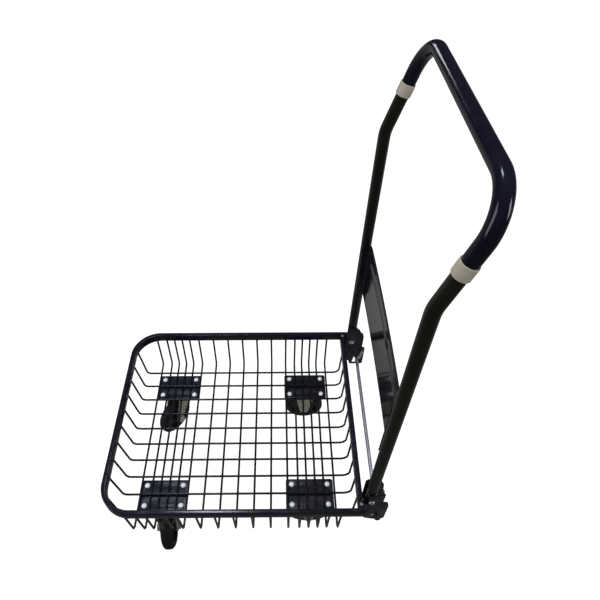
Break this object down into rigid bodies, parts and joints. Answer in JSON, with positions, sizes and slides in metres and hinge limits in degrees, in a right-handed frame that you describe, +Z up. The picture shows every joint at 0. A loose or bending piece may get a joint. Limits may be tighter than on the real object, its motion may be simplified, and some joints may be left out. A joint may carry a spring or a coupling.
{
  "type": "folding basket trolley",
  "caption": "Folding push trolley: a low wire basket in a flat-tube frame on two rigid and two swivel casters, with a bent tube handle that folds over it.",
  "frame": {"origin": "on the ground under the middle of the overall length and width", "axes": "+Z up, +X towards the push handle, +Y to the right of a person who pushes"},
  "size_m": [0.5944, 0.4518, 0.9891],
  "materials": {
    "frame_paint": "gloss black paint with a faint blue cast",
    "zinc": "bright zinc plating",
    "fork_zinc": "dull zinc plating",
    "hub_plastic": "black moulded nylon",
    "tyre_rubber": "matt black rubber",
    "grip_vinyl": "glossy black vinyl",
    "collar_plastic": "grey-beige moulded plastic"
  },
  "bodies": {
    "frame": {"frame_tube": "frame_paint", "rear_crossbar": "frame_paint", "wire_basket": "frame_paint", "deck_plate_front_left": "frame_paint", "deck_plate_front_right": "frame_paint", "deck_plate_rear_left": "frame_paint", "deck_plate_rear_right": "frame_paint", "hinge_bracket_left": "frame_paint", "hinge_bracket_right": "frame_paint", "pivot_bolt_left": "zinc", "crossbar_bolt_left": "zinc", "pivot_bolt_right": "zinc", "crossbar_bolt_right": "zinc", "caster_bolt_front_left_1": "zinc", "caster_bolt_front_left_2": "zinc", "caster_bolt_front_left_3": "zinc", "caster_bolt_front_left_4": "zinc", "caster_bolt_front_right_1": "zinc", "caster_bolt_front_right_2": "zinc", "caster_bolt_front_right_3": "zinc", "caster_bolt_front_right_4": "zinc", "caster_bolt_rear_left_1": "zinc", "caster_bolt_rear_left_2": "zinc", "caster_bolt_rear_left_3": "zinc", "caster_bolt_rear_left_4": "zinc", "caster_bolt_rear_right_1": "zinc", "caster_bolt_rear_right_2": "zinc", "caster_bolt_rear_right_3": "zinc", "caster_bolt_rear_right_4": "zinc", "swivel_plate_front_left": "fork_zinc", "kingpin_front_left": "zinc", "swivel_plate_front_right": "fork_zinc", "kingpin_front_right": "zinc", "fixed_fork_rear_left": "fork_zinc", "fixed_fork_rear_right": "fork_zinc", "axle_bolt_rear_left": "zinc", "axle_bolt_rear_right": "zinc", "lock_spring_left": "zinc", "lock_spring_right": "zinc"},
    "handle": {"handle_tube": "frame_paint", "grip_sleeve": "grip_vinyl", "grip_collar_left": "collar_plastic", "grip_collar_right": "collar_plastic", "leg_panel": "frame_paint"},
    "lock": {"lock_rod": "zinc", "rod_cap_left": "zinc", "rod_cap_right": "zinc"},
    "swivel_front_left": {"swivel_fork_front_left": "fork_zinc", "axle_bolt_front_left": "zinc"},
    "swivel_front_right": {"swivel_fork_front_right": "fork_zinc", "axle_bolt_front_right": "zinc"},
    "wheel_front_left": {"wheel_hub_front_left": "hub_plastic", "tyre_front_left": "tyre_rubber"},
    "wheel_front_right": {"wheel_hub_front_right": "hub_plastic", "tyre_front_right": "tyre_rubber"},
    "wheel_rear_left": {"wheel_hub_rear_left": "hub_plastic", "tyre_rear_left": "tyre_rubber"},
    "wheel_rear_right": {"wheel_hub_rear_right": "hub_plastic", "tyre_rear_right": "tyre_rubber"}
  },
  "joints": [
    {"name": "handle_fold", "type": "hinge", "parent": "frame", "child": "handle", "pos_m": [0.24134, 0, 0.271], "axis": [0, -1, 0], "range_deg": [0, 90]},
    {"name": "lock_release", "type": "slide", "parent": "frame", "child": "lock", "axis": [0, 0, -1], "range_m": [0, 0.01], "stiffness_N_per_m": 800, "springref_m": -0.01, "deforming": ["lock_spring_left", "lock_spring_right"]},
    {"name": "swivel_front_left", "type": "hinge", "parent": "frame", "child": "swivel_front_left", "pos_m": [-0.19376, -0.1405, 0.122], "axis": [0, 0, 1], "continuous": true},
    {"name": "swivel_front_right", "type": "hinge", "parent": "frame", "child": "swivel_front_right", "pos_m": [-0.19376, 0.1405, 0.122], "axis": [0, 0, 1], "continuous": true},
    {"name": "wheel_spin_front_left", "type": "hinge", "parent": "swivel_front_left", "child": "wheel_front_left", "pos_m": [-0.19053, -0.17736, 0.05], "axis": [-0.9962, -0.0872, 0], "continuous": true},
    {"name": "wheel_spin_front_right", "type": "hinge", "parent": "swivel_front_right", "child": "wheel_front_right", "pos_m": [-0.21498, 0.11019, 0.05], "axis": [-0.8192, 0.5736, 0], "continuous": true},
    {"name": "wheel_spin_rear_left", "type": "hinge", "parent": "frame", "child": "wheel_rear_left", "pos_m": [0.12984, -0.1405, 0.05], "axis": [0, 1, 0], "continuous": true},
    {"name": "wheel_spin_rear_right", "type": "hinge", "parent": "frame", "child": "wheel_rear_right", "pos_m": [0.12984, 0.1405, 0.05], "axis": [0, 1, 0], "continuous": true}
  ]
}
